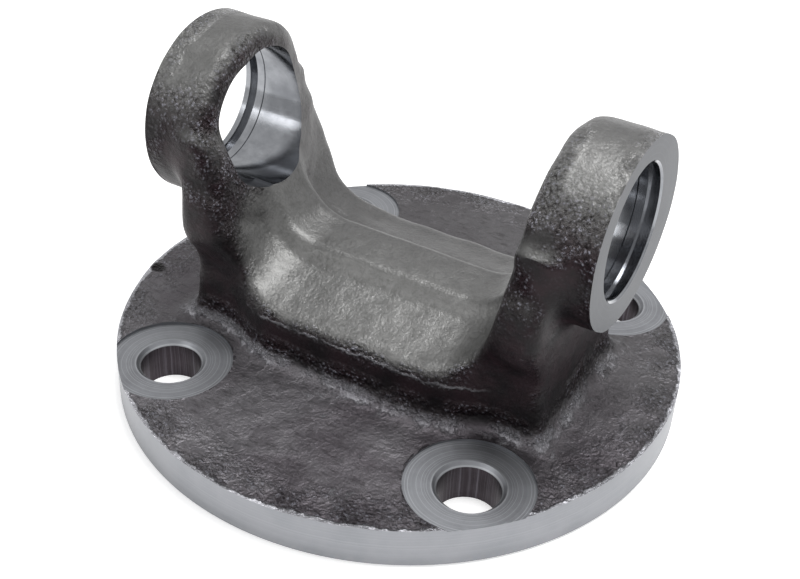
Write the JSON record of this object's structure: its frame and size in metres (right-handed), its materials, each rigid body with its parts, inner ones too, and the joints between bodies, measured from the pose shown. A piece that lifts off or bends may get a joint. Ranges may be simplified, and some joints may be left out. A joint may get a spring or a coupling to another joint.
{
  "type": "forged flange yoke",
  "caption": "Forged steel flange yoke for a propeller shaft universal joint: a round bolted flange under a U-shaped fork whose two ears carry one line of bearing bores.",
  "frame": {"origin": "middle of the mating face under the flange, which is the bottom of the part", "axes": "+Z along the shaft axis, away from the mating face; +X along the axis of the two cross bores"},
  "size_m": [0.15, 0.15, 0.0876],
  "materials": {
    "forged_steel": "satin"
  },
  "bodies": {
    "root": {"flange_yoke": "forged_steel"}
  },
  "joints": []
}
